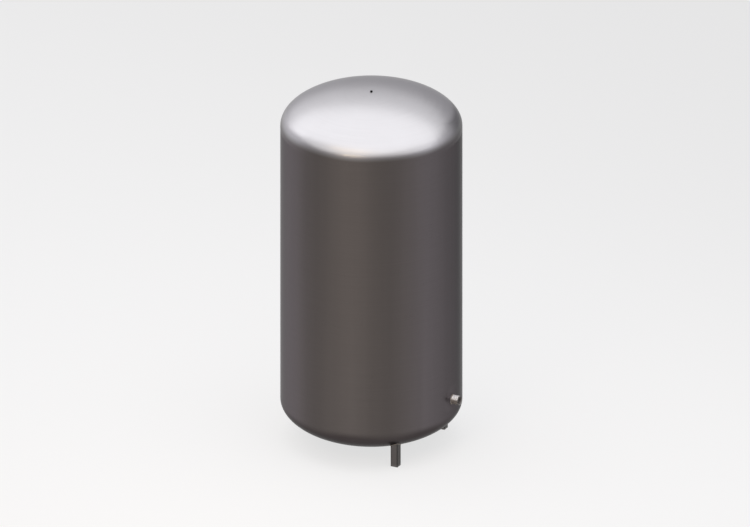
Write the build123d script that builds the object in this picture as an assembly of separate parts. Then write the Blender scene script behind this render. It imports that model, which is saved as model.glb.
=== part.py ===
from build123d import *
import math
import os

# A vertical pressure tank of welded steel plate on three short square legs.
# Millimetres. Z is up, the floor is Z = 0, and the vessel's axis is the Z axis.

# Driving dimensions of the vessel
vessel_diameter = 1200.0
plate_thickness = 6.0
shell_length = 1900.0
head_depth = 243.0
head_straight_flange = 28.0
floor_clearance = 45.0

# Butt welds, filled flush with the plate on both sides
root_gap = 2.0
groove_half_angle = 30.0
seam_angle = 135.0

# The open pipe nozzle on the +X side
nozzle_outer_diameter = 60.3
nozzle_wall = 3.9
nozzle_above_lower_weld = 76.5
nozzle_projection = 54.0
nozzle_inside_length = 8.0
nozzle_hole_clearance = 0.5
nozzle_weld_leg = 5.0

# The vent plug on top, screwed into a boss under the head
plug_head_diameter = 16.0
plug_head_height = 7.5
plug_head_round = 2.5
plug_shank_diameter = 10.0
plug_shank_length = 24.0
plug_hole_clearance = 0.1
boss_diameter = 32.0
boss_length = 22.0
boss_weld_leg = 4.0

# The three legs of square box section, with their centres on a circle inside the vessel's side:
# one each side of the nozzle, at an angle to it, and one opposite the nozzle
leg_size = 50.0
leg_wall = 4.0
leg_corner_radius = 2.0
leg_circle_inset = 108.0
leg_angle_from_nozzle = 44.0
leg_weld_leg = 5.0
leg_weld_chamfer = 2.5

# The plates that close the lower ends of the legs
foot_thickness = 6.0
foot_hole_diameter = 14.0

# Heights and radii that follow from the driving dimensions
outer_radius = vessel_diameter / 2
inner_radius = outer_radius - plate_thickness
lower_tangent = floor_clearance + head_depth
lower_weld = lower_tangent + head_straight_flange
upper_weld = lower_weld + shell_length
upper_tangent = upper_weld + head_straight_flange
apex = upper_tangent + head_depth
half_gap_inside = root_gap / 2
half_gap_outside = half_gap_inside + plate_thickness * math.tan(math.radians(groove_half_angle))
nozzle_height = lower_weld + nozzle_above_lower_weld
leg_circle_radius = outer_radius - leg_circle_inset

# Solids that stand on their place, where others are centred on it
standing = (Align.CENTER, Align.CENTER, Align.MIN)

os.makedirs("parts", exist_ok=True)


def save(name, piece):
    """Write one node."""
    export_step(piece, f"parts/{name}.step")


def turned(outline):
    """A solid of revolution about the vessel's axis from an outline in X and Z."""
    return revolve(Plane.XZ * make_face(outline), Axis.Z, 360)


def dish_arc(radius, depth):
    """The quarter ellipse of a dish from its rim to its pole, with the tangent line at height 0."""
    return EllipticalCenterArc((0, 0), radius, depth, 0, arc_size=90)


def at_end(tangent, side, piece):
    """Place a piece of an upright dish on its tangent line, turned over for the bottom head."""
    turn = Rot(0, 0, 0) if side > 0 else Rot(180, 0, 0)
    return Pos(0, 0, tangent) * turn * piece


def dish_solid(tangent, side, radius, depth):
    """A solid half ellipsoid on a tangent line."""
    outline = [
        dish_arc(radius, depth),
        Line((0, 0), (radius, 0)),
        Line((0, 0), (0, depth)),
    ]
    return at_end(tangent, side, turned(outline))


def dished_head(tangent, side):
    """A semi-elliptical head with its straight flange, bevelled for the girth weld."""
    inner_depth = head_depth - plate_thickness
    inner_edge = half_gap_inside - head_straight_flange
    outer_edge = half_gap_outside - head_straight_flange
    outline = [
        dish_arc(outer_radius, head_depth),
        dish_arc(inner_radius, inner_depth),
        Line((0, inner_depth), (0, head_depth)),
        Line((inner_radius, 0), (inner_radius, inner_edge)),
        Line((outer_radius, 0), (outer_radius, outer_edge)),
        Line((inner_radius, inner_edge), (outer_radius, outer_edge)),
    ]
    half = revolve(Plane.XZ * make_face(outline), Axis.Z, 180)
    return at_end(tangent, side, half + Rot(0, 0, 180) * half)


def girth_weld(height):
    """The ring of weld metal that fills the groove between the shell and a head."""
    outline = Polyline(
        (inner_radius, height - half_gap_inside),
        (outer_radius, height - half_gap_outside),
        (outer_radius, height + half_gap_outside),
        (inner_radius, height + half_gap_inside),
        close=True,
    )
    return turned(outline)


def rolled_plate():
    """The shell plate as a closed ring, bevelled at both ends."""
    outline = Polyline(
        (inner_radius, lower_weld + half_gap_inside),
        (outer_radius, lower_weld + half_gap_outside),
        (outer_radius, upper_weld - half_gap_outside),
        (inner_radius, upper_weld - half_gap_inside),
        close=True,
    )
    return turned(outline)


def seam_groove():
    """The straight V groove along the shell where the rolled plate meets itself."""
    beyond = plate_thickness
    slope = math.tan(math.radians(groove_half_angle))
    one_side = [
        (inner_radius - beyond, half_gap_inside),
        (inner_radius, half_gap_inside),
        (outer_radius + beyond, half_gap_outside + beyond * slope),
    ]
    other_side = [(x, -y) for x, y in reversed(one_side)]
    face = make_face(Polyline(*one_side, *other_side, close=True))
    prism = extrude(Pos(0, 0, lower_weld) * face, shell_length)
    return Rot(0, 0, seam_angle) * prism


def along_x(radius, start, end):
    """A round bar on the nozzle's axis between two distances from the vessel's axis."""
    middle = Pos((start + end) / 2, 0, nozzle_height) * Rot(0, 90, 0)
    return middle * Cylinder(radius, end - start)


def nozzle():
    """The open pipe, from just inside the shell to its square-cut end."""
    start = inner_radius - nozzle_inside_length
    end = outer_radius + nozzle_projection
    bore_radius = nozzle_outer_diameter / 2 - nozzle_wall
    pipe = along_x(nozzle_outer_diameter / 2, start, end) - along_x(bore_radius, start, end)
    return pipe


def nozzle_fillet():
    """The fillet weld round the nozzle on the outside of the shell."""
    pipe_radius = nozzle_outer_diameter / 2
    toe = pipe_radius + nozzle_weld_leg
    toe_distance = math.sqrt(outer_radius**2 - toe**2)
    outline = Polyline(
        (pipe_radius, inner_radius - nozzle_inside_length),
        (toe, inner_radius - nozzle_inside_length),
        (toe, toe_distance),
        (pipe_radius, outer_radius + nozzle_weld_leg),
        close=True,
    )
    ring = Pos(0, 0, nozzle_height) * Rot(0, 90, 0) * turned(outline)
    vessel = Cylinder(outer_radius, apex, align=standing)
    return ring - vessel


def vent_boss():
    """The threaded boss under the top head, shaped to the dish."""
    low = apex - plate_thickness - boss_length
    bar = Pos(0, 0, low) * Cylinder(boss_diameter / 2, boss_length, align=standing)
    cavity = dish_solid(upper_tangent, 1, inner_radius, head_depth - plate_thickness)
    return (bar & cavity) - vent_hole()


def vent_hole():
    """The round hole for the plug's shank through the head and the boss."""
    radius = plug_shank_diameter / 2 + plug_hole_clearance
    depth = plate_thickness + boss_length
    return Pos(0, 0, apex - depth) * Cylinder(radius, depth + plug_head_height, align=standing)


def vent_boss_fillet():
    """The fillet weld round the boss on the inside of the top head."""
    radius = boss_diameter / 2
    toe = radius + boss_weld_leg
    inner_depth = head_depth - plate_thickness
    toe_height = upper_tangent + inner_depth * math.sqrt(1 - (toe / inner_radius) ** 2)
    root_height = upper_tangent + inner_depth * math.sqrt(1 - (radius / inner_radius) ** 2)
    outline = Polyline(
        (radius, root_height),
        (toe, toe_height),
        (radius, root_height - boss_weld_leg),
        close=True,
    )
    return turned(outline)


def vent_plug():
    """The black plug: a round-topped head on the dish and a shank in the boss."""
    head = Pos(0, 0, apex) * Cylinder(plug_head_diameter / 2, plug_head_height, align=standing)
    top_edge = head.edges().sort_by(Axis.Z)[-1]
    head = fillet(top_edge, plug_head_round)
    shank = Cylinder(plug_shank_diameter / 2, plug_shank_length, align=standing)
    return head + Pos(0, 0, apex - plug_shank_length) * shank


def leg_outline(grown=0.0):
    """The rounded square outline of a leg, grown outwards by a given amount."""
    return RectangleRounded(
        leg_size + 2 * grown, leg_size + 2 * grown, leg_corner_radius + grown
    )


def leg_tube(place):
    """A square tube from its foot plate up to the underside of the bottom head."""
    section = leg_outline() - Rectangle(leg_size - 2 * leg_wall, leg_size - 2 * leg_wall)
    tube = place * Pos(0, 0, foot_thickness) * extrude(section, lower_tangent - foot_thickness)
    return tube - dish_solid(lower_tangent, -1, outer_radius, head_depth)


def leg_fillet(place):
    """The weld bead round the top of a leg against the bottom head."""
    skin = dish_solid(
        lower_tangent, -1, outer_radius + leg_weld_leg, head_depth + leg_weld_leg
    )
    band = skin - dish_solid(lower_tangent, -1, outer_radius, head_depth)
    patch = (place * extrude(leg_outline(leg_weld_leg), lower_tangent)) & band
    lower_face = patch.faces().filter_by(GeomType.REVOLUTION).sort_by(Axis.Z)[0]
    patch = chamfer(lower_face.edges(), leg_weld_chamfer)
    return patch - place * extrude(leg_outline(), lower_tangent)


def foot_plate(place):
    """The plate that closes the lower end of a leg, with its anchor hole."""
    section = leg_outline() - Circle(foot_hole_diameter / 2)
    return place * extrude(section, foot_thickness)


full_plate = rolled_plate()
groove = seam_groove()
nozzle_hole = along_x(
    nozzle_outer_diameter / 2 + nozzle_hole_clearance,
    inner_radius - nozzle_inside_length,
    outer_radius + nozzle_projection,
)
save("shell", full_plate - groove - nozzle_hole)
save("shell_seam_weld", full_plate & groove)
save("lower_girth_weld", girth_weld(lower_weld))
save("upper_girth_weld", girth_weld(upper_weld))
save("bottom_head", dished_head(lower_tangent, -1))
save("top_head", dished_head(upper_tangent, 1) - vent_hole())
save("nozzle_pipe", nozzle())
save("nozzle_weld", nozzle_fillet())
save("vent_boss", vent_boss())
save("vent_boss_weld", vent_boss_fillet())
save("vent_plug", vent_plug())

leg_angles = {
    "front_right": -leg_angle_from_nozzle,
    "back_right": leg_angle_from_nozzle,
    "left": 180.0,
}
for name, angle in leg_angles.items():
    turn = math.radians(angle)
    place = Pos(leg_circle_radius * math.cos(turn), leg_circle_radius * math.sin(turn), 0)
    save(f"leg_{name}", leg_tube(place))
    save(f"leg_weld_{name}", leg_fillet(place))
    save(f"foot_plate_{name}", foot_plate(place))
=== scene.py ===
# A vertical pressure tank of satin steel, in a plain studio. Metres, Z up, the floor is Z = 0.
import math

import bpy
from mathutils import Matrix, Vector


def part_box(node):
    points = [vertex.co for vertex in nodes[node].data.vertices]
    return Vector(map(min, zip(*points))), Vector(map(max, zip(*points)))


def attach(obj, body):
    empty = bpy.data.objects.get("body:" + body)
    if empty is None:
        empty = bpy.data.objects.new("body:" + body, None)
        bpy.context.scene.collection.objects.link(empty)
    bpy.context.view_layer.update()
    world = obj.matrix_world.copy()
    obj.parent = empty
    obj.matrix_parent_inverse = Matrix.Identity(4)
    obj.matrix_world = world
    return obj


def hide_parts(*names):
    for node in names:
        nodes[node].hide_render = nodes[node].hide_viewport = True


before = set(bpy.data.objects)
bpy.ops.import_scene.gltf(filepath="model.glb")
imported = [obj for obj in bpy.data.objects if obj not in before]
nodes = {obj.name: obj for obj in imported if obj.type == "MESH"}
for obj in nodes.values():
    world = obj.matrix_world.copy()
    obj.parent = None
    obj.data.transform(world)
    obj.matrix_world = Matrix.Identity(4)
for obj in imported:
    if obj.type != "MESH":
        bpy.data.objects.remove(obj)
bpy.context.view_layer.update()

# The view that the photograph shows, which has no perspective
view_azimuth = math.radians(27)
view_elevation = math.radians(24)
view_width = 4.9385
axis_left_of_view_middle = 0.0239
middle_height = 1.266
middle_above_view_middle = 0.0157
camera_distance = 12.0
view_right = Vector((math.cos(view_azimuth), math.sin(view_azimuth), 0))
view_away = Vector((-math.sin(view_azimuth), math.cos(view_azimuth), 0))

# The vessel's and the nozzle's shapes, from the frame and from the depth of the heads
head_depth = 0.243
vessel_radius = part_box("shell")[1].x
lower_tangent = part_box("bottom_head")[0].z + head_depth
upper_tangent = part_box("top_head")[1].z - head_depth
pipe_low, pipe_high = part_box("nozzle_pipe")
pipe_middle = (pipe_low + pipe_high) / 2
pipe_radius = (pipe_high.z - pipe_low.z) / 2

# The fillet beads, with the share and the pace of their slow and their quick swelling
bead_leg = 0.005
bead_arc_steps = 8
bead_fullness = 0.45
bead_depth_in_root = 0.0008
bead_slow_swelling = (0.035, 0.071)
bead_quick_swelling = (0.02, 0.193)
leg_corner_radius = 0.002

# The ripples along the beads, which lag behind at the bead's middle
ripple_pitch = 0.0032
ripple_steps = 6
ripple_depth = 0.1
ripple_lag = 0.45

# Colours of the plate: the sides, whose warm and cool tints are painted reflections, are darker than
# the top head, whose colour is a painted highlight; the bottom head's colour is a painted shade and
# the knuckle's tint a painted warm highlight
warm_side_colour = (0.105, 0.0915, 0.0862)
cool_side_colour = (0.108, 0.0958, 0.1008)
bottom_painted_shade_colour = (0.065, 0.055, 0.056)
dome_painted_highlight_colour = (0.372, 0.368, 0.373)
knuckle_painted_warm_tint = (1.0, 0.99, 0.96)

# Colours of the other steel
leg_colour = (0.118, 0.107, 0.103)
leg_mark_shade = 0.9
leg_corner_colour = (0.03, 0.027, 0.026)
scuff_colour = (0.32, 0.31, 0.3)
# The pipe's pale colour is a painted highlight and its underside colour a painted shade; its cut's
# dark colour is a painted shade and the lighter one painted light
pipe_painted_highlight_colour = (0.9, 0.89, 0.89)
pipe_smudge_shade = 0.93
pipe_painted_shade_colour = (0.2, 0.175, 0.155)
pipe_cut_painted_shade_colour = (0.1, 0.095, 0.09)
pipe_cut_painted_light_colour = (0.5, 0.48, 0.46)
pipe_bore_colour = (0.22, 0.2, 0.19)
weld_colour = (0.2, 0.185, 0.175)
straw_colour = (0.21, 0.17, 0.13)
blue_colour = (0.13, 0.125, 0.15)
plug_colour = (0.002, 0.002, 0.002)
plug_worn_colour = (0.012, 0.012, 0.012)

# Bands of painted light and shade up the plate: how many, the angle of one crest from +X, and values
# of troughs and crests
wave_count = 7
band_angle = math.radians(-78)
painted_band_shading = (0.89, 1.11)

# The heights from which a head takes its painted pole colour, a highlight on the top head and a
# shade on the bottom head, and fully so, in as many waves, as shares of its depth
painted_light_angle = math.radians(-103)
painted_light_lower_edge = (-0.036, -0.024)
painted_light_upper_edge = (0.19, 0.275)

# Soft strips of painted light and shade: a painted warm reflection, a painted highlight strip, two
# painted shade strips and a painted rim highlight; the angle from +X, the cosine of half the width,
# and values beside and in each
warm_side = (math.radians(-74), 0.62, 0.0, 1.0)
painted_highlight_strip = (math.radians(-138), 0.766, 1.0, 1.28)
broad_painted_shade_strip = (math.radians(23), 0.9, 1.0, 0.64)
narrow_painted_shade_strip = (math.radians(23), 0.94, 1.0, 0.82)
painted_rim_highlight = (math.radians(-138), 0.86, 0.0, 0.22)

# The heights on a head between which these fade, as shares of its depth
knuckle_painted_warm_tint_fade = (0.12, 0.4)
painted_shade_strip_fade = (0.2, 0.52)
painted_rim_highlight_fade = (0.28, 0.45)

# Noise patterns: features in a metre along each axis, detail and roughness
plate_grain = ((3.0, 3.0, 850.0), 3.0, 0.5)
plate_streaks = ((9.0, 9.0, 0.22), 2.5, 0.55)
plate_smudges = ((2.6, 2.6, 2.6), 4.0, 0.6)
leg_drawing = ((500.0, 500.0, 6.0), 3.0, 0.5)
leg_marks = ((60.0, 60.0, 60.0), 5.0, 0.65)
pipe_turning = ((1400.0, 12.0, 12.0), 3.0, 0.5)
pipe_smudges = ((45.0, 45.0, 45.0), 4.0, 0.5)
ground_marks = ((260.0, 260.0, 25.0), 3.0, 0.5)
ground_pools = ((120.0, 120.0, 120.0), 2.0, 0.5)
bead_heat = ((70.0, 70.0, 70.0), 3.0, 0.5)
bead_grit = ((900.0, 900.0, 900.0), 3.0, 0.5)
plug_grit = ((1500.0, 1500.0, 1500.0), 4.0, 0.5)
plug_wear = ((260.0, 260.0, 260.0), 4.0, 0.5)

# The parts of a pattern's range, from 0 to 1, over which it takes effect
soft_span = (0.3, 0.7)
full_span = (0.2, 0.8)
scuff_span = (0.42, 0.6)
pool_span = (0.4, 0.7)
straw_span = (0.4, 0.62)
blue_span = (0.62, 0.75)
wear_span = (0.55, 0.7)

# What the patterns do to the brightness of each finish
smudge_share = 0.014
plate_grain_tint = (0.95, 1.05)
leg_drawing_tint = (0.96, 1.04)
pipe_turning_tint = (0.97, 1.03)
ground_mark_tint = (0.94, 1.07)
ground_pool_tint = (0.97, 1.04)
bead_grit_tint = (0.92, 1.08)

# The roughness of each finish, and the height of its bumps
plate_roughness = (0.28, 0.36)
leg_roughness = (0.32, 0.42)
pipe_roughness = (0.4, 0.5)
bore_extra_roughness = 0.2
ground_roughness = (0.28, 0.37)
bead_roughness = (0.28, 0.45)
plug_roughness = (0.5, 0.65)
plate_bump = 0.00005
fine_bump = 0.00003
bead_bump = 0.00006

# How much of the mirror brightness is left where a surface is seen nearly edge-on
side_edge = 0.56
dome_edge = 0.75

# How uneven the sides and the top head are, and the length of a radian of a head's grain
side_unevenness = 1.0
dome_unevenness = 0.3
head_arc = 0.45

# A ring of painted light round the nozzle, and the plate dressed by hand to be rougher there: the
# distances over which each ends, and their gains
painted_nozzle_ring = (0.035, 0.12)
painted_nozzle_ring_gain = 1.3
rough_ring = (0.04, 0.1)
rough_ring_gain = 0.3

# The legs' dark corner lines, the painted shade on the faces across X, and the scuffed feet
corner_line = (0.0025, 0.007)
face_change = (-0.001, 0.001)
x_face_painted_shade = 0.5
scuff_height = 0.022
scuff_strength = 0.35

# The pipe's cut end, darkened by painted shade, and its bore; and where the painted highlight on its
# top and the painted light low on its cut begin and end, as shares of its radius
cut_reach = (0.0045, 0.0065)
bore_reach = (0.003, 0.0034)
bore_strength = 0.85
pipe_painted_light = (0.15, 0.62)
cut_painted_light = (0.4, 1.0)
pipe_metallic = 0.25

# The plug's worn edge, by the depth under its top, and its dull gloss
plug_edge = (0.001, 0.0025)
plug_wear_strength = 0.3
plug_gloss = 0.03

# The floor, and how far and how strongly it glows to the camera and in the metal
floor_size = 60.0
floor_colour = (0.7, 0.695, 0.69)
floor_roughness = 0.9
floor_glow = 0.7
floor_glow_strength = 1.0

# The world: its strength as light, and as the camera and the metal see it
world_colour = (0.965, 0.94, 1.0)
world_strength = 0.3
backdrop_strength = 0.66

# Patches of the backdrop: their way to the right, away and up, cosine of half the width, change
backdrop_patches = (
    ((0.62, 0.72, -0.3), 0.8, 0.62),
    ((-0.78, 0.62, 0.0), 0.6, 1.4),
    ((0.97, -0.1, 0.2), 0.86, 1.6),
)

# The lamps: the place, the width and depth, the turn, the power and the colour of each
cool_white = (0.985, 0.985, 1.0)
warm_white = (1.0, 0.78, 0.54)
lamps = {
    "front_softbox": ((1.87, -1.76, 3.9), (11.9, 6.5), 0.1, 238.0, cool_white),
    "back_softbox": ((-3.6, 1.85, 4.3), (14.0, 5.8), -0.28, 191.0, cool_white),
    "cream_card": ((-0.05, -2.25, 3.85), (1.9, 1.0), 0.0, 5.5, warm_white),
    "warm_lamp": ((0.42, -5.6, 3.9), (3.0, 1.9), 1.14, 92.0, warm_white),
}


def make_camera():
    """An orthographic camera at the photograph's viewing angle."""
    sin_e, cos_e = math.sin(view_elevation), math.cos(view_elevation)
    up = view_away * sin_e + Vector((0, 0, cos_e))
    back = Vector((0, 0, sin_e)) - view_away * cos_e
    aim = Vector((0, 0, middle_height))
    aim += view_right * axis_left_of_view_middle - up * middle_above_view_middle
    data = bpy.data.cameras.new("camera")
    data.type = "ORTHO"
    data.ortho_scale = view_width
    camera = bpy.data.objects.new("camera", data)
    turn = Matrix((view_right, up, back)).transposed().to_4x4()
    camera.matrix_world = Matrix.Translation(aim + back * camera_distance) @ turn
    bpy.context.scene.collection.objects.link(camera)
    bpy.context.scene.camera = camera


class Tree:
    """A node tree, with short calls that add nodes and join them."""

    def __init__(self, tree):
        self.tree = tree

    def add(self, kind, inputs=None, **settings):
        """Add a node with its settings, and with its inputs by name or by number."""
        node = self.tree.nodes.new(kind)
        for key, value in settings.items():
            setattr(node, key, value)
        for key, value in (inputs or {}).items():
            self.put(node, key, value)
        return node

    def put(self, node, key, value):
        """Set an input to a value, or join it to another node's output."""
        if isinstance(value, bpy.types.NodeSocket):
            self.tree.links.new(value, node.inputs[key])
        else:
            node.inputs[key].default_value = value

    def maths(self, operation, first, second=0.0):
        """One step of arithmetic."""
        return self.add("ShaderNodeMath", {0: first, 1: second}, operation=operation).outputs[0]

    def plus(self, first, second):
        """The sum of two values."""
        return self.maths("ADD", first, second)

    def minus(self, first, second):
        """The first value less the second."""
        return self.maths("SUBTRACT", first, second)

    def times(self, first, second):
        """The product of two values."""
        return self.maths("MULTIPLY", first, second)

    def length(self, first, second):
        """The length of the diagonal over two values."""
        squares = self.plus(self.times(first, first), self.times(second, second))
        return self.maths("POWER", squares, 0.5)

    def between(self, value, low, high, to_low=0.0, to_high=1.0, smooth=False):
        """A value mapped from one range to another, and kept inside it."""
        kind = "SMOOTHSTEP" if smooth else "LINEAR"
        inputs = {"Value": value, 1: low, 2: high, 3: to_low, 4: to_high}
        return self.add("ShaderNodeMapRange", inputs, interpolation_type=kind).outputs[0]

    def vector_maths(self, operation, first, second):
        """The single value that a step of arithmetic on two vectors gives."""
        node = self.add("ShaderNodeVectorMath", {0: first, 1: second}, operation=operation)
        return node.outputs["Value"]


class Shader(Tree):
    """A material's node tree, with calls for what the finishes share."""

    def __init__(self, name):
        self.material = bpy.data.materials.new(name)
        self.material.use_nodes = True
        super().__init__(self.material.node_tree)
        self.surface = self.tree.nodes["Principled BSDF"]

    def set(self, **inputs):
        """Set or join inputs of the surface itself."""
        for key, value in inputs.items():
            self.put(self.surface, key.replace("_", " "), value)

    def metal(self, edge=1.0):
        """Make the surface metal, with so much of its brightness left when seen edge-on."""
        self.set(Metallic=1.0, Specular_Tint=(edge, edge, edge, 1))

    def bump(self, height, distance):
        """Join a height to the surface's normal."""
        inputs = {"Height": height, "Distance": distance}
        self.set(Normal=self.add("ShaderNodeBump", inputs).outputs[0])

    def position(self):
        """The point on the object, which is also its place in the frame."""
        return self.add("ShaderNodeTexCoord").outputs["Object"]

    def axes(self, vector):
        """The three parts of a vector."""
        return self.add("ShaderNodeSeparateXYZ", {0: vector}).outputs

    def vector(self, x, y, z):
        """A vector from three parts."""
        return self.add("ShaderNodeCombineXYZ", {0: x, 1: y, 2: z}).outputs[0]

    def facing(self, position, centre, count=1):
        """The cosine of the angle round the vessel's axis from a centre, or of a multiple of it."""
        x, y, _ = self.axes(position)
        away = self.minus(self.maths("ARCTAN2", y, x), centre)
        return self.maths("COSINE", self.times(away, count))

    def waves(self, position, angle, trough, crest):
        """A value that swings softly round the vessel, with a crest at the angle."""
        return self.between(self.facing(position, angle, wave_count), -1.0, 1.0, trough, crest)

    def strip(self, position, angle, reach, beside, middle):
        """A value that changes softly to another in a strip up the vessel."""
        return self.between(self.facing(position, angle), reach, 1.0, beside, middle, smooth=True)

    def noise(self, vector, scale, detail, roughness):
        """One of the noise patterns, from 0 to 1."""
        stretched = self.add("ShaderNodeMapping", {"Vector": vector, "Scale": scale}).outputs[0]
        inputs = {"Vector": stretched, "Scale": 1.0, "Detail": detail, "Roughness": roughness}
        return self.add("ShaderNodeTexNoise", inputs).outputs[0]

    def mix(self, factor, first, second, blend="MIX"):
        """A mix of two colours."""
        node = self.add("ShaderNodeMix", {0: factor}, data_type="RGBA", blend_type=blend)
        for key, value in ((6, first), (7, second)):
            self.put(node, key, (*value, 1) if isinstance(value, tuple) else value)
        return node.outputs[2]

    def tinted(self, colour, value):
        """A colour made lighter or darker by a value near 1."""
        return self.mix(1.0, colour, self.vector(value, value, value), "MULTIPLY")

    def join(self, share, first, second):
        """A mix of two whole surfaces."""
        return self.add("ShaderNodeMixShader", {0: share, 1: first, 2: second}).outputs[0]


def scaled(values, factor):
    """Each of some values times a factor."""
    return tuple(value * factor for value in values)


def satin(shader, position, along, colour, edge, unevenness, rougher=0.0):
    """Satin plate: grain across the coordinate along, upright streaks and soft smudges."""
    x, y, _ = shader.axes(position)
    grain = shader.noise(shader.vector(x, y, along), *plate_grain)
    streaks = shader.noise(position, *plate_streaks)
    smudges = shader.noise(position, *plate_smudges)

    share = smudge_share * unevenness
    streaks = shader.between(streaks, *soft_span, 1 - 2 * share, 1 + 2 * share)
    colour = shader.tinted(colour, streaks)
    colour = shader.tinted(colour, shader.between(smudges, *soft_span, 1 - share, 1 + share))
    colour = shader.tinted(colour, shader.between(grain, *soft_span, *plate_grain_tint))

    rough = shader.between(grain, *soft_span, *plate_roughness)
    rough = shader.plus(rough, shader.between(smudges, *soft_span, -share, share))
    shader.set(Base_Color=colour, Roughness=shader.plus(rough, rougher))
    shader.bump(grain, plate_bump)
    shader.metal(edge)


def painted_shade_strip(shader, position):
    """The painted shade strip up one side of the vessel, as a factor up to 1."""
    broad = shader.strip(position, *broad_painted_shade_strip)
    return shader.times(broad, shader.strip(position, *narrow_painted_shade_strip))


def plate_tone_with_painted_light(shader, position):
    """The rolled plate's colour with painted light: broad soft bands of painted light and shade up
    the shell, painted highlight and shade strips, and painted warm and cool reflections on its
    sides.
    """
    colour = shader.mix(shader.strip(position, *warm_side), cool_side_colour, warm_side_colour)
    bands = shader.waves(position, band_angle, *painted_band_shading)
    strips = shader.times(shader.strip(position, *painted_highlight_strip), painted_shade_strip(shader, position))
    return shader.tinted(colour, shader.times(bands, strips))


def shell_finish():
    """The rolled plate of the shell, dressed by hand and rougher round the nozzle, with a ring of
    painted light there.
    """
    shader = Shader("shell_steel")
    position = shader.position()
    nozzle_root = (vessel_radius, pipe_middle.y, pipe_middle.z)
    distance = shader.vector_maths("DISTANCE", position, nozzle_root)
    # A ring of painted light round the nozzle
    brighter = shader.between(distance, *painted_nozzle_ring, painted_nozzle_ring_gain, 1.0, smooth=True)
    rougher = shader.between(distance, *rough_ring, rough_ring_gain, 0.0, smooth=True)
    colour = shader.tinted(plate_tone_with_painted_light(shader, position), brighter)
    height = shader.axes(position)[2]
    satin(shader, position, height, colour, side_edge, side_unevenness, rougher)
    return shader.material


def head_finish(name, tangent, side, pole_colour, edge, unevenness):
    """A spun head: its grain runs in rings about the pole, and past the knuckle its colour turns to
    a painted pole colour, a highlight on the top head and a shade on the bottom head, with a painted
    shade strip, a painted rim highlight and a painted warm tint.
    """
    shader = Shader(name)
    position = shader.position()
    x, y, z = shader.axes(position)
    rise = shader.times(shader.minus(z, tangent), side / head_depth)
    outwards = shader.maths("DIVIDE", shader.length(x, y), vessel_radius)
    along = shader.times(shader.maths("ARCTAN2", rise, outwards), head_arc)

    # Painted shade strip and painted rim highlight on the pole colour, and a painted warm tint at
    # the knuckle
    strip = shader.between(rise, *painted_shade_strip_fade, smooth=True)
    strip = shader.maths("MAXIMUM", painted_shade_strip(shader, position), strip)
    rim = shader.between(rise, *painted_rim_highlight_fade, 1.0, 0.0, smooth=True)
    rim = shader.times(shader.strip(position, *painted_rim_highlight), rim)
    painted_pole_colour = shader.tinted(pole_colour, shader.times(strip, shader.plus(rim, 1.0)))
    warmth = shader.between(rise, *knuckle_painted_warm_tint_fade, 1.0, 0.0, smooth=True)
    warmth = shader.times(warmth, shader.strip(position, *warm_side))
    painted_pole_colour = shader.mix(warmth, painted_pole_colour, knuckle_painted_warm_tint, "MULTIPLY")

    # Between these heights the colour turns from the plate's to the painted pole colour
    lower_edge = shader.waves(position, painted_light_angle, *painted_light_lower_edge)
    upper_edge = shader.waves(position, painted_light_angle, *painted_light_upper_edge)
    painted_light = shader.between(rise, lower_edge, upper_edge, smooth=True)
    colour = shader.mix(painted_light, plate_tone_with_painted_light(shader, position), painted_pole_colour)
    satin(shader, position, along, colour, edge, unevenness)
    return shader.material


def leg_finish(name, leg):
    """Square section: a dark line along each rounded corner, painted shade on the faces across X,
    and a scuffed foot.
    """
    low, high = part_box(leg)
    middle = (low + high) / 2
    half = (high.x - low.x) / 2
    shader = Shader(name)
    position = shader.position()
    x, y, z = shader.axes(position)
    from_middle = [
        shader.maths("ABSOLUTE", shader.minus(value, centre))
        for value, centre in ((x, middle.x), (y, middle.y))
    ]
    inside = shader.minus(half, shader.maths("MINIMUM", *from_middle))
    corner = shader.between(inside, *corner_line, 1.0, 0.0, smooth=True)
    # Painted shade on the pair of faces across X
    face = shader.minus(*from_middle)
    face = shader.between(face, *face_change, 1.0, x_face_painted_shade)
    drawing = shader.noise(position, *leg_drawing)
    marks = shader.noise(position, *leg_marks)
    scuffs = shader.between(z, 0.0, scuff_height, scuff_strength, 0.0, smooth=True)
    scuffs = shader.times(scuffs, shader.between(marks, *scuff_span))

    marked_colour = scaled(leg_colour, leg_mark_shade)
    colour = shader.mix(shader.between(marks, *soft_span), leg_colour, marked_colour)
    colour = shader.tinted(colour, shader.between(drawing, *full_span, *leg_drawing_tint))
    colour = shader.tinted(colour, face)
    colour = shader.mix(corner, colour, leg_corner_colour)
    colour = shader.mix(scuffs, colour, scuff_colour)
    rough = shader.between(marks, *soft_span, *leg_roughness)
    shader.set(Base_Color=colour, Roughness=rough)
    shader.bump(drawing, fine_bump)
    shader.metal()
    return shader.material


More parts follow.
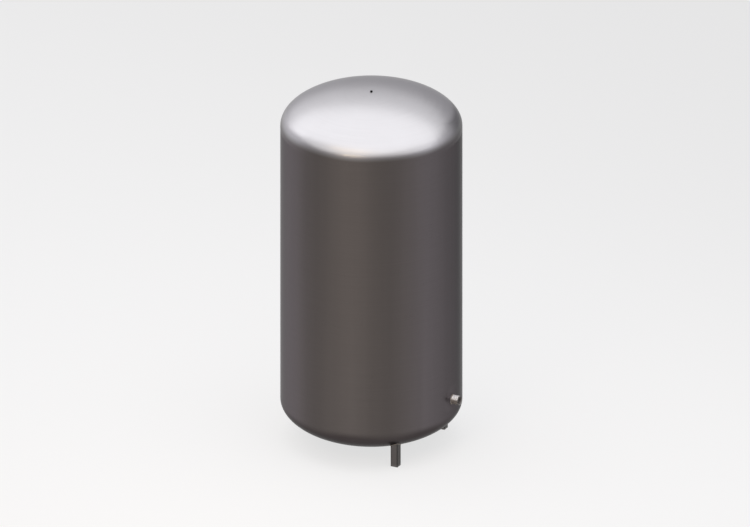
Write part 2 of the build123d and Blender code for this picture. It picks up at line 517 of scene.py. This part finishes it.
def pipe_finish():
    """Blasted pipe: fine rings across its axis, a painted highlight on top, painted shade on the
    underside and the cut end, painted light low on the cut, and a dull bore.
    """
    shader = Shader("pipe_steel")
    position = shader.position()
    x, y, z = shader.axes(position)
    height = shader.minus(z, pipe_middle.z)
    turning = shader.noise(position, *pipe_turning)
    smudges = shader.noise(position, *pipe_smudges)
    # Painted highlight on top and painted shade below; on the cut end, painted shade with painted
    # light low on one side
    painted_light = shader.between(height, *scaled(pipe_painted_light, pipe_radius), smooth=True)
    cut = shader.between(shader.minus(pipe_high.x, x), *cut_reach, 1.0, 0.0)
    lighter_part = shader.between(shader.minus(y, height), *scaled(cut_painted_light, pipe_radius), smooth=True)
    bore = shader.between(shader.minus(pipe_radius, shader.length(y, height)), *bore_reach)

    smudged_colour = scaled(pipe_painted_highlight_colour, pipe_smudge_shade)
    colour = shader.mix(shader.between(smudges, *soft_span), pipe_painted_highlight_colour, smudged_colour)
    colour = shader.mix(painted_light, pipe_painted_shade_colour, colour)
    colour = shader.mix(cut, colour, shader.mix(lighter_part, pipe_cut_painted_shade_colour, pipe_cut_painted_light_colour))
    colour = shader.mix(shader.times(bore, bore_strength), colour, pipe_bore_colour)
    colour = shader.tinted(colour, shader.between(turning, *full_span, *pipe_turning_tint))
    rough = shader.between(turning, *full_span, *pipe_roughness)
    rough = shader.plus(rough, shader.times(bore, bore_extra_roughness))
    shader.set(Base_Color=colour, Roughness=rough, Metallic=pipe_metallic)
    shader.bump(turning, fine_bump)
    return shader.material


def ground_weld_finish():
    """A weld ground flush: a shade off the plate's colour with its painted light and shade, with
    short marks across the seam.
    """
    shader = Shader("ground_weld")
    position = shader.position()
    marks = shader.noise(position, *ground_marks)
    pools = shader.noise(position, *ground_pools)
    colour = plate_tone_with_painted_light(shader, position)
    colour = shader.tinted(colour, shader.between(marks, *full_span, *ground_mark_tint))
    colour = shader.tinted(colour, shader.between(pools, *pool_span, *ground_pool_tint))
    rough = shader.between(marks, *full_span, *ground_roughness)
    shader.set(Base_Color=colour, Roughness=rough)
    shader.bump(marks, plate_bump)
    shader.metal(side_edge)
    return shader.material


def bead_finish():
    """A fillet bead as welded: bright metal with straw and blue heat tint."""
    shader = Shader("weld_bead")
    position = shader.position()
    heat = shader.noise(position, *bead_heat)
    grit = shader.noise(position, *bead_grit)
    colour = shader.mix(shader.between(heat, *straw_span), weld_colour, straw_colour)
    colour = shader.mix(shader.between(heat, *blue_span), colour, blue_colour)
    colour = shader.tinted(colour, shader.between(grit, *full_span, *bead_grit_tint))
    rough = shader.between(grit, *full_span, *bead_roughness)
    shader.set(Base_Color=colour, Roughness=rough)
    shader.bump(grit, bead_bump)
    shader.metal()
    return shader.material


def plug_finish():
    """Black oxide, rubbed a little lighter on the rounded edge."""
    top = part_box("vent_plug")[1].z
    shader = Shader("black_oxide")
    position = shader.position()
    grit = shader.noise(position, *plug_grit)
    wear = shader.noise(position, *plug_wear)
    edge = shader.between(shader.minus(top, shader.axes(position)[2]), *plug_edge, 1.0, 0.0)
    lighter_part = shader.times(edge, shader.between(wear, *wear_span, 0.0, plug_wear_strength))
    colour = shader.mix(lighter_part, plug_colour, plug_worn_colour)
    rough = shader.between(grit, *full_span, *plug_roughness)
    shader.set(Base_Color=colour, Roughness=rough, Specular_IOR_Level=plug_gloss)
    shader.bump(grit, fine_bump)
    return shader.material


def swelling(index, share, pace):
    """How much thicker or thinner a bead is at one of its stations."""
    return share * math.sin(index * pace)


def bead_mesh(name, path, material):
    """A closed rippled fillet bead along points with the skin's and the wall's directions."""
    vertices = []
    ring = bead_arc_steps + 2
    for index, (root, skin, wall) in enumerate(path):
        uneven = 1 + swelling(index, *bead_slow_swelling) + swelling(index, *bead_quick_swelling)
        for step in range(bead_arc_steps + 1):
            turn = math.pi / 2 * step / bead_arc_steps
            phase = index / ripple_steps - ripple_lag * math.sin(2 * turn)
            scallop = 1 - ripple_depth * (1 - abs(math.sin(math.pi * phase)))
            flat = 1 / (math.cos(turn) + math.sin(turn))
            fullness = flat + (1 - flat) * bead_fullness
            reach = bead_leg * uneven * scallop * fullness
            vertices.append(root + (skin * math.cos(turn) + wall * math.sin(turn)) * reach)
        vertices.append(root - (skin + wall) * bead_depth_in_root)
    count = len(path)
    faces = []
    for index in range(count):
        here, there = index * ring, (index + 1) % count * ring
        for step in range(ring):
            after = (step + 1) % ring
            faces.append((here + step, there + step, there + after, here + after))
    mesh = bpy.data.meshes.new(name)
    mesh.from_pydata(vertices, [], faces)
    mesh.update()
    for polygon in mesh.polygons:
        polygon.use_smooth = True
    mesh.materials.append(material)
    piece = bpy.data.objects.new(name, mesh)
    bpy.context.scene.collection.objects.link(piece)
    return piece


def ring_path(middle, radius):
    """Bead stations where a pipe along X leaves the shell."""
    length = 2 * math.pi * (radius + bead_leg / 2)
    count = round(length / ripple_pitch) * ripple_steps
    path = []
    for index in range(count):
        turn = 2 * math.pi * index / count
        y, rise = radius * math.cos(turn), radius * math.sin(turn)
        x = math.sqrt(vessel_radius**2 - y**2)
        root = Vector((x, y, middle.z + rise))
        skin = Vector((-y / x * math.cos(turn), math.cos(turn), math.sin(turn))).normalized()
        path.append((root, skin, Vector((1, 0, 0))))
    return path


def square_outline(half, corner, spacing):
    """Evenly spaced points and normals round a square with rounded corners."""
    straight = half - corner
    outline = []
    for quarter in range(4):
        turn = Matrix.Rotation(quarter * math.pi / 2, 3, "Z")
        side_steps = round(2 * straight / spacing)
        for step in range(side_steps):
            along = -straight + 2 * straight * step / side_steps
            outline.append((turn @ Vector((half, along, 0)), turn @ Vector((1, 0, 0))))
        corner_steps = round(corner * math.pi / 2 / spacing)
        for step in range(corner_steps):
            angle = math.pi / 2 * step / corner_steps
            normal = Vector((math.cos(angle), math.sin(angle), 0))
            point = Vector((straight, straight, 0)) + normal * corner
            outline.append((turn @ point, turn @ normal))
    return outline


def leg_path(low, high):
    """Bead stations where a square leg meets the bottom head from below."""
    middle = (low + high) / 2
    half = (high.x - low.x) / 2
    half_bead = bead_leg / 2
    spacing = ripple_pitch / ripple_steps
    path = []
    for point, normal in square_outline(half + half_bead, leg_corner_radius + half_bead, spacing):
        x = middle.x + point.x - normal.x * half_bead
        y = middle.y + point.y - normal.y * half_bead
        share = math.sqrt(1 - (x**2 + y**2) / vessel_radius**2)
        slope = head_depth * (x * normal.x + y * normal.y) / (vessel_radius**2 * share)
        root = Vector((x, y, lower_tangent - head_depth * share))
        skin = Vector((normal.x, normal.y, slope)).normalized()
        path.append((root, skin, Vector((0, 0, -1))))
    return path


def make_beads():
    """The fillet welds round the nozzle and the legs, in place of their plain solids."""
    material = bead_finish()
    paths = {"nozzle_weld": ring_path(pipe_middle, pipe_radius)}
    for name in nodes:
        if name.startswith("leg_weld_"):
            paths[name] = leg_path(*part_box(name.replace("leg_weld", "leg")))
    for name, path in paths.items():
        piece = bead_mesh(f"{name}_bead", path, material)
        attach(piece, "root")
        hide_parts(name)


def dress_nodes():
    """Give each CAD node its finish."""
    shell_steel = shell_finish()
    ground_weld = ground_weld_finish()
    finishes = {
        "shell": shell_steel,
        "vent_boss": shell_steel,
        "shell_seam_weld": ground_weld,
        "lower_girth_weld": ground_weld,
        "upper_girth_weld": ground_weld,
        "vent_boss_weld": ground_weld,
        # The bottom head's pole colour is a painted shade, the top head's a painted highlight
        "bottom_head": head_finish(
            "bottom_head_steel", lower_tangent, -1, bottom_painted_shade_colour, side_edge, side_unevenness
        ),
        "top_head": head_finish(
            "top_head_steel", upper_tangent, 1, dome_painted_highlight_colour, dome_edge, dome_unevenness
        ),
        "nozzle_pipe": pipe_finish(),
        "vent_plug": plug_finish(),
    }
    for name in nodes:
        if name.startswith("leg_") and "weld" not in name:
            place = name.replace("leg_", "")
            finish = leg_finish(f"leg_steel_{place}", name)
            finishes[name] = finish
            finishes[f"foot_plate_{place}"] = finish
    for name, finish in finishes.items():
        nodes[name].data.materials.clear()
        nodes[name].data.materials.append(finish)


def seen_directly(tree):
    """1 for what the camera, metal and glass see, and 0 for the light that lights the object."""
    path = tree.add("ShaderNodeLightPath").outputs
    seen = tree.maths("MAXIMUM", path["Is Camera Ray"], path["Is Glossy Ray"])
    return tree.maths("MAXIMUM", seen, path["Is Transmission Ray"])


def make_floor():
    """A pale floor that keeps the shadow, clear from below to show the underside."""
    bpy.ops.mesh.primitive_plane_add(size=floor_size)
    floor = bpy.context.active_object
    floor.name = "floor"
    shader = Shader("floor")
    shader.set(Base_Color=(*floor_colour, 1), Roughness=floor_roughness, Specular_IOR_Level=0.0)
    glow = shader.add("ShaderNodeEmission", {"Strength": floor_glow_strength}).outputs[0]
    share = shader.times(seen_directly(shader), floor_glow)
    pale = shader.join(share, shader.surface.outputs[0], glow)
    below = shader.add("ShaderNodeNewGeometry").outputs["Backfacing"]
    clear = shader.add("ShaderNodeBsdfTransparent").outputs[0]
    output = shader.tree.nodes["Material Output"]
    shader.put(output, "Surface", shader.join(below, pale, clear))
    floor.data.materials.append(shader.material)


def make_world():
    """Soft light from all sides, with a paler look to the camera and in the metal."""
    world = bpy.data.worlds.new("studio")
    world.use_nodes = True
    world.cycles.sampling_method = "NONE"
    tree = Tree(world.node_tree)
    strength = tree.between(seen_directly(tree), 0.0, 1.0, world_strength, backdrop_strength)
    looking = tree.add("ShaderNodeTexCoord").outputs["Generated"]
    for (right, away, up), reach, change in backdrop_patches:
        middle = (view_right * right + view_away * away + Vector((0, 0, up))).normalized()
        towards = tree.vector_maths("DOT_PRODUCT", looking, middle)
        patch = tree.between(towards, reach, 1.0, 1.0, change, smooth=True)
        strength = tree.times(strength, patch)
    background = world.node_tree.nodes["Background"]
    tree.put(background, "Strength", strength)
    tree.put(background, "Color", (*world_colour, 1))
    bpy.context.scene.world = world


def make_lamp(name, place, size, turn, power, colour):
    """A soft rectangular lamp that faces straight down."""
    data = bpy.data.lights.new(name, "AREA")
    data.shape = "RECTANGLE"
    data.size, data.size_y = size
    data.energy = power
    data.color = colour
    lamp = bpy.data.objects.new(name, data)
    lamp.location = place
    lamp.rotation_euler.z = turn
    lamp.visible_camera = False
    bpy.context.scene.collection.objects.link(lamp)


make_camera()
make_floor()
make_world()
for name, values in lamps.items():
    make_lamp(name, *values)
dress_nodes()
make_beads()
bpy.context.scene.view_settings.view_transform = "Standard"
